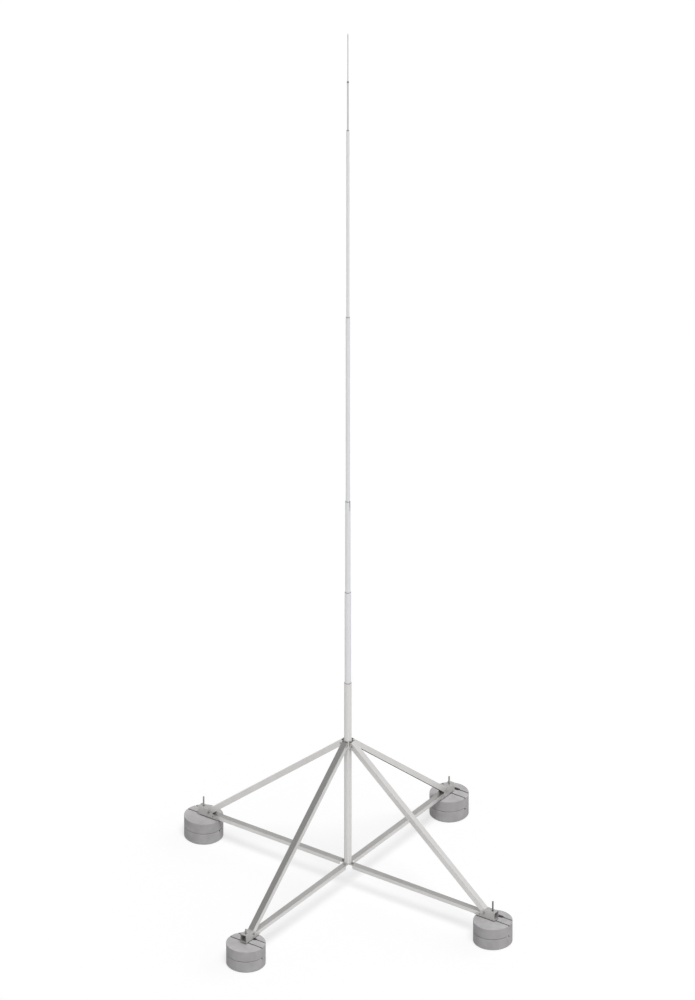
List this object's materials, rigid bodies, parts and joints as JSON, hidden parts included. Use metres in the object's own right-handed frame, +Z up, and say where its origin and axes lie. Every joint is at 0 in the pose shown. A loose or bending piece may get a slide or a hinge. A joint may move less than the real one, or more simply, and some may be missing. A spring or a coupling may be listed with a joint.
{
  "type": "lightning protection mast",
  "caption": "Tall free-standing air-termination mast of telescoped tubes, held upright by a cross-shaped strutted stand on stacked round concrete ballast blocks.",
  "frame": {"origin": "on the mast's axis at ground level, midway between the four feet", "axes": "+Z up along the mast, +X and +Y along two of the four arms"},
  "size_m": [3.69, 3.69, 9.244],
  "materials": {
    "mast": "drawn aluminium tube with a satin sheen",
    "bush": "dark grey turned bush, matt",
    "hub": "welded stainless steel, satin",
    "stand": "folded stainless steel channel, satin",
    "saddle": "folded stainless steel sheet, satin",
    "stud": "threaded steel rod with nuts and washers",
    "concrete": "smooth cast concrete with fine pores"
  },
  "bodies": {
    "root": {"lower_hub": "hub", "upper_hub": "hub", "mast_tube_1": "mast", "mast_tube_2": "mast", "mast_tube_3": "mast", "mast_tube_4": "mast", "mast_tube_5": "mast", "bush_1": "bush", "bush_2": "bush", "bush_3": "bush", "bush_4": "bush", "bush_5": "bush", "air_rod": "mast", "tip_collar": "bush", "air_tip": "mast", "arm_east": "stand", "arm_north": "stand", "arm_west": "stand", "arm_south": "stand", "strut_east": "stand", "strut_north": "stand", "strut_west": "stand", "strut_south": "stand", "foot_saddle_east": "saddle", "foot_saddle_north": "saddle", "foot_saddle_west": "saddle", "foot_saddle_south": "saddle", "foot_stud_east": "stud", "foot_stud_north": "stud", "foot_stud_west": "stud", "foot_stud_south": "stud", "upper_block_east": "concrete", "upper_block_north": "concrete", "upper_block_west": "concrete", "upper_block_south": "concrete", "lower_block_east": "concrete", "lower_block_north": "concrete", "lower_block_west": "concrete", "lower_block_south": "concrete"}
  },
  "joints": []
}
